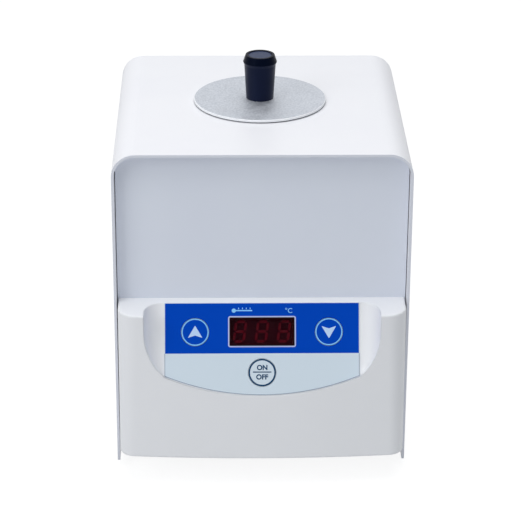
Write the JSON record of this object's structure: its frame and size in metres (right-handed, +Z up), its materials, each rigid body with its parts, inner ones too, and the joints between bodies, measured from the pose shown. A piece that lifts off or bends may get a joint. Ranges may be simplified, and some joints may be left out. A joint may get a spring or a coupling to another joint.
{
  "type": "dry block heater",
  "caption": "Bench dry block heater: bent sheet case with a sloping keypad and digit display in front, and a heated tube block under a loose round lid with a knob.",
  "frame": {"origin": "on the floor, under the middle of the object's box", "axes": "+Z up, +X to the viewer's right when facing the keypad, the keypad faces -Y"},
  "size_m": [0.1744, 0.1991, 0.2278],
  "materials": {
    "cover_paint": "satin off-white powder coat",
    "panel_paint": "satin grey powder coat",
    "bezel_plastic": "fine moulded texture",
    "overlay_film": "printed film, blue above and pale grey below",
    "key_film": "printed film, blue",
    "key_pale_film": "printed film, pale grey",
    "lens_acrylic": "smoked red acrylic",
    "segment_plastic": "unlit red segment",
    "module_plastic": "black potted display",
    "board_laminate": "green solder mask on glass laminate",
    "black_plastic": "moulded black",
    "knob_plastic": "blue-black moulded",
    "cap_plastic": "blue-black, smoother than the knob",
    "lid_aluminium": "fine blasted",
    "block_aluminium": "machined",
    "collar_plastic": "heat-proof moulded ring",
    "steel": "zinc plated",
    "heater_steel": "sheathed band",
    "mineral_wool": "ceramic fibre",
    "foot_rubber": "moulded",
    "core_steel": "varnished laminations",
    "terminal_plastic": "moulded green",
    "capacitor_sleeve": "shrunk sleeve",
    "lead_plastic": "insulated wire",
    "earth_plastic": "insulated wire",
    "lead_braid": "glass-braid sleeving",
    "ribbon_plastic": "grey flat cable",
    "contact_brass": "nickel-plated blades",
    "cartridge_glass": "clear tube",
    "thermal_ceramic": "inline thermal fuse"
  },
  "bodies": {
    "case": {"band_clamp_screw": "steel", "band_heater": "heater_steel", "bezel_screws": "steel", "block_bolt": "steel", "board_screws": "steel", "board_standoffs": "contact_brass", "chassis": "panel_paint", "control_board": "board_laminate", "control_board_screws": "steel", "cover": "cover_paint", "cover_screws": "steel", "display_digits": "segment_plastic", "display_lens": "lens_acrylic", "display_module": "module_plastic", "earth_lead": "earth_plastic", "earth_screw": "steel", "filter_capacitors": "capacitor_sleeve", "foot_front_left": "foot_rubber", "foot_front_right": "foot_rubber", "foot_rear_left": "foot_rubber", "foot_rear_right": "foot_rubber", "foot_screws": "steel", "front_bezel": "bezel_plastic", "heat_shield": "steel", "heat_sink": "block_aluminium", "heater_leads": "lead_braid", "inlet_pins": "contact_brass", "inlet_screws": "steel", "insulation_base": "mineral_wool", "insulation_sleeve": "mineral_wool", "keypad_overlay": "overlay_film", "mains_leads": "lead_plastic", "power_board": "board_laminate", "power_inlet": "black_plastic", "power_switch": "black_plastic", "ribbon_cable": "ribbon_plastic", "ribbon_headers": "black_plastic", "support_plate": "steel", "support_posts": "steel", "support_screws": "steel", "switch_tabs": "contact_brass", "tact_switches": "black_plastic", "temperature_probe": "steel", "terminal_block": "terminal_plastic", "thermal_cutout": "thermal_ceramic", "transformer": "core_steel", "triac": "black_plastic", "tube_block": "block_aluminium", "well_collar": "collar_plastic"},
    "lid": {"lid_plate": "lid_aluminium", "lid_insert": "lid_aluminium", "lid_knob": "knob_plastic", "knob_cap": "cap_plastic", "lid_screw": "steel"},
    "up_key": {"key_up": "key_film"},
    "down_key": {"key_down": "key_film"},
    "start_key": {"key_start": "key_pale_film"},
    "rocker": {"switch_rocker": "black_plastic"},
    "drawer": {"fuse_drawer": "black_plastic", "fuse": "cartridge_glass"}
  },
  "joints": [
    {"name": "lid_lift", "type": "slide", "parent": "case", "child": "lid", "axis": [0, 0, 1], "range_m": [0, 0.12]},
    {"name": "up_press", "type": "slide", "parent": "case", "child": "up_key", "axis": [0, 0.9037, -0.4281], "range_m": [0, 0.0004], "stiffness_N_per_m": 300, "springref_m": -0.001},
    {"name": "down_press", "type": "slide", "parent": "case", "child": "down_key", "axis": [0, 0.9037, -0.4281], "range_m": [0, 0.0004], "stiffness_N_per_m": 300, "springref_m": -0.001},
    {"name": "start_press", "type": "slide", "parent": "case", "child": "start_key", "axis": [0, 0.9037, -0.4281], "range_m": [0, 0.0004], "stiffness_N_per_m": 300, "springref_m": -0.001},
    {"name": "power_rock", "type": "hinge", "parent": "case", "child": "rocker", "pos_m": [0.035, 0.0945, 0.045], "axis": [1, 0, 0], "range_deg": [0, 24]},
    {"name": "drawer_pull", "type": "slide", "parent": "case", "child": "drawer", "axis": [0, 1, 0], "range_m": [0, 0.012]}
  ]
}
